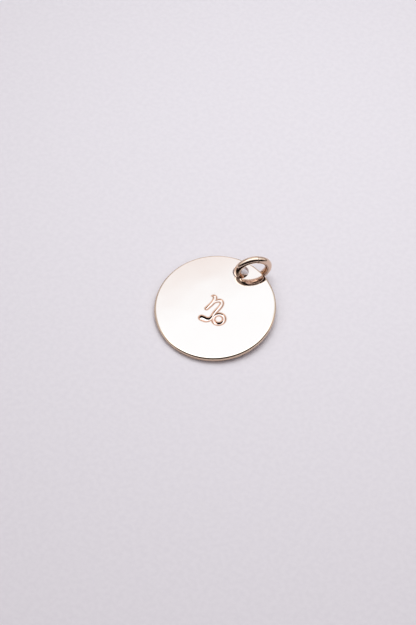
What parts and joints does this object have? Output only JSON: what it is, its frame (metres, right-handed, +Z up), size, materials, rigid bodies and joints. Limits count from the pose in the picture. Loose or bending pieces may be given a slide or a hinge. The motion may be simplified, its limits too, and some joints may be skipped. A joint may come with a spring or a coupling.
{
  "type": "zodiac charm",
  "caption": "Round polished metal disc charm stamped with the Capricorn sign, with a hole near its rim and a round-wire jump ring to hang it on a chain.",
  "frame": {"origin": "on the surface that the charm lies on, at the middle of the whole charm's box seen from above", "axes": "+Z up from that surface; +Y from the disc's middle towards its hole, which is the top of the stamped sign; +X to the right of the sign. The disc is tilted 4.3 degrees, because the jump ring stands through its hole and props that side up"},
  "size_m": [0.016, 0.017, 0.0051],
  "materials": {
    "disc_metal": "pale rose gold plate on brass, polished to a near mirror, with fine wear on the rim and in the stamped sign",
    "ring_metal": "pale rose gold plated wire, polished, with faint drawing lines along the wire"
  },
  "bodies": {
    "root": {"disc": "disc_metal", "jump_ring": "ring_metal"}
  },
  "joints": []
}
